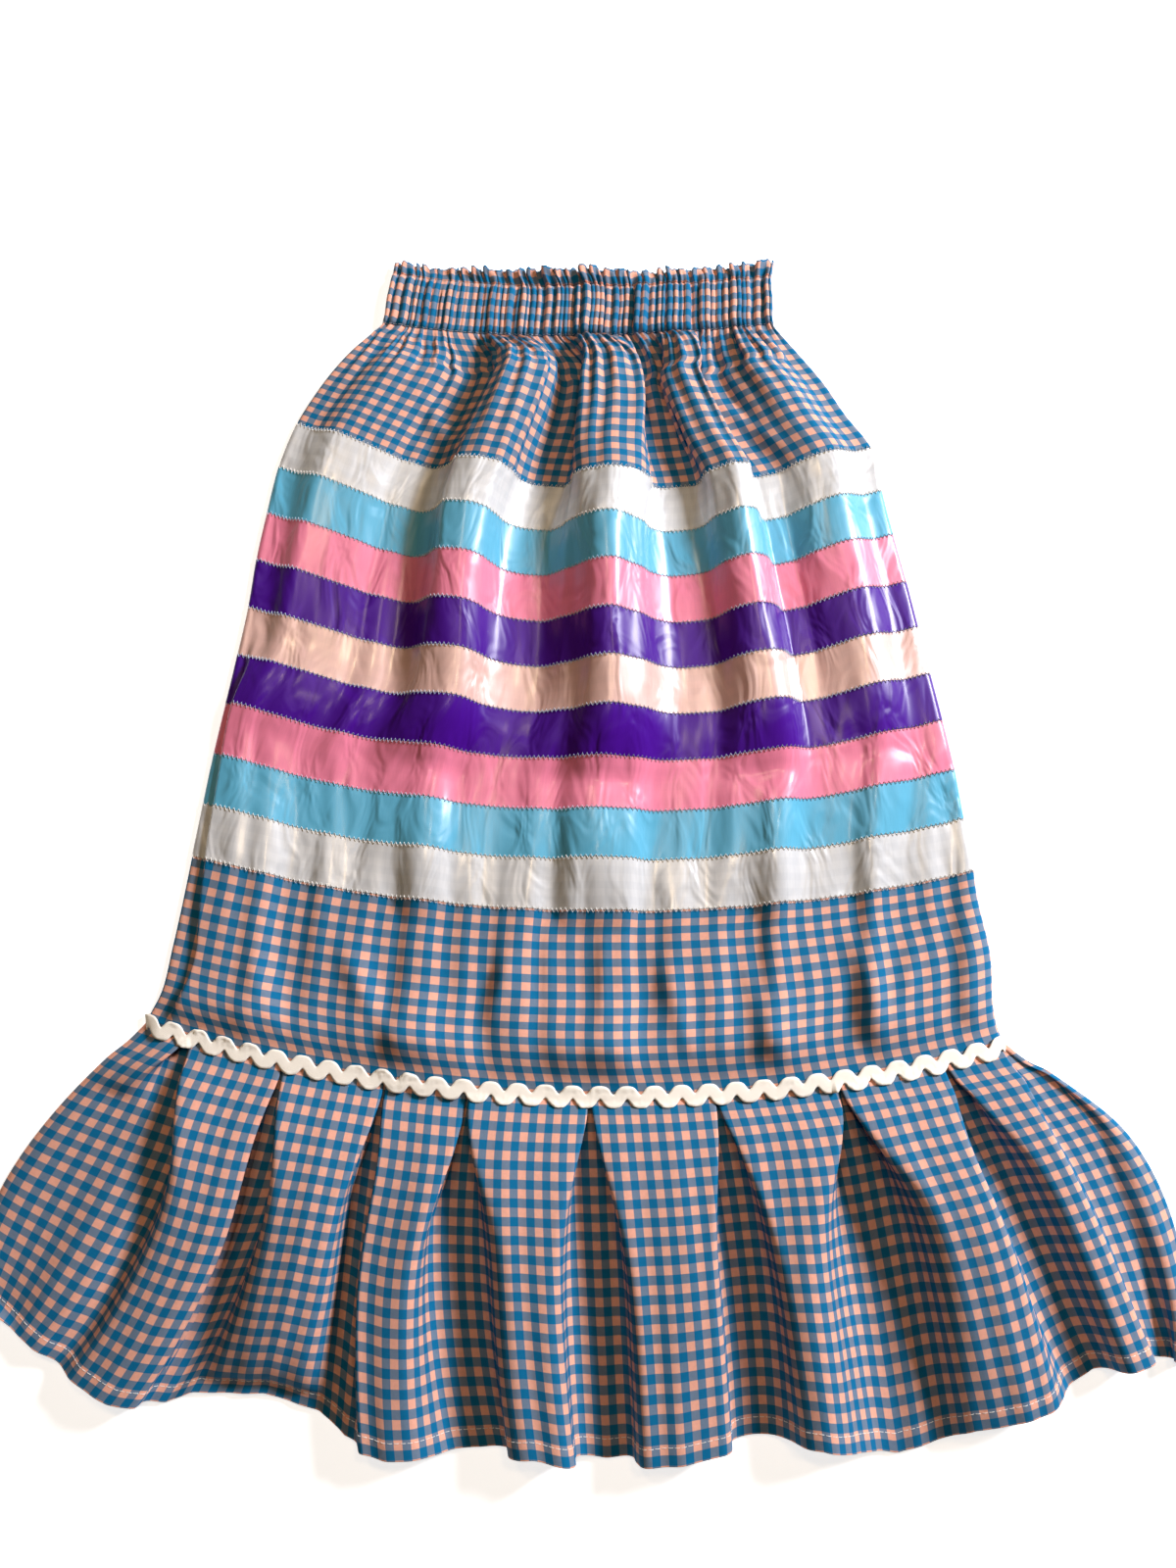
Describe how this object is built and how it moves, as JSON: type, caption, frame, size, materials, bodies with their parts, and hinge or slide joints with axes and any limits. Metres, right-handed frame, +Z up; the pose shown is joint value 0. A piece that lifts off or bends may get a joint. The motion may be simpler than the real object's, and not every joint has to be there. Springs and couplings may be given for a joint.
{
  "type": "ribbon skirt",
  "caption": "Gathered gingham ribbon skirt laid flat: elastic waist, bands of satin ribbon, rick-rack and a box-pleated ruffle.",
  "frame": {"origin": "centre of the bounding box, on the surface that the skirt lies on", "axes": "+X across the skirt, to the right as seen from the front; +Y toward the waist; +Z up from the surface, out of the skirt's front"},
  "size_m": [0.8202, 0.8725, 0.0485],
  "materials": {
    "gingham": "woven cotton gingham check in teal blue and salmon pink",
    "satin_white": "glossy white satin ribbon",
    "satin_light_blue": "glossy light blue satin ribbon",
    "satin_pink": "glossy pink satin ribbon",
    "satin_purple": "glossy purple satin ribbon",
    "satin_blush": "glossy blush satin ribbon",
    "rickrack_cream": "matte cream woven rick-rack"
  },
  "bodies": {
    "root": {"front_panel": "gingham", "back_panel": "gingham", "waist_casing_front": "gingham", "waist_casing_back": "gingham", "waist_frill_front": "gingham", "waist_frill_back": "gingham", "ribbon_front_1": "satin_white", "ribbon_front_2": "satin_light_blue", "ribbon_front_3": "satin_pink", "ribbon_front_4": "satin_purple", "ribbon_front_5": "satin_blush", "ribbon_front_6": "satin_purple", "ribbon_front_7": "satin_pink", "ribbon_front_8": "satin_light_blue", "ribbon_front_9": "satin_white", "ribbon_back_1": "satin_white", "ribbon_back_2": "satin_light_blue", "ribbon_back_3": "satin_pink", "ribbon_back_4": "satin_purple", "ribbon_back_5": "satin_blush", "ribbon_back_6": "satin_purple", "ribbon_back_7": "satin_pink", "ribbon_back_8": "satin_light_blue", "ribbon_back_9": "satin_white", "rickrack_front": "rickrack_cream", "rickrack_back": "rickrack_cream", "ruffle_front": "gingham", "ruffle_back": "gingham"}
  },
  "joints": []
}
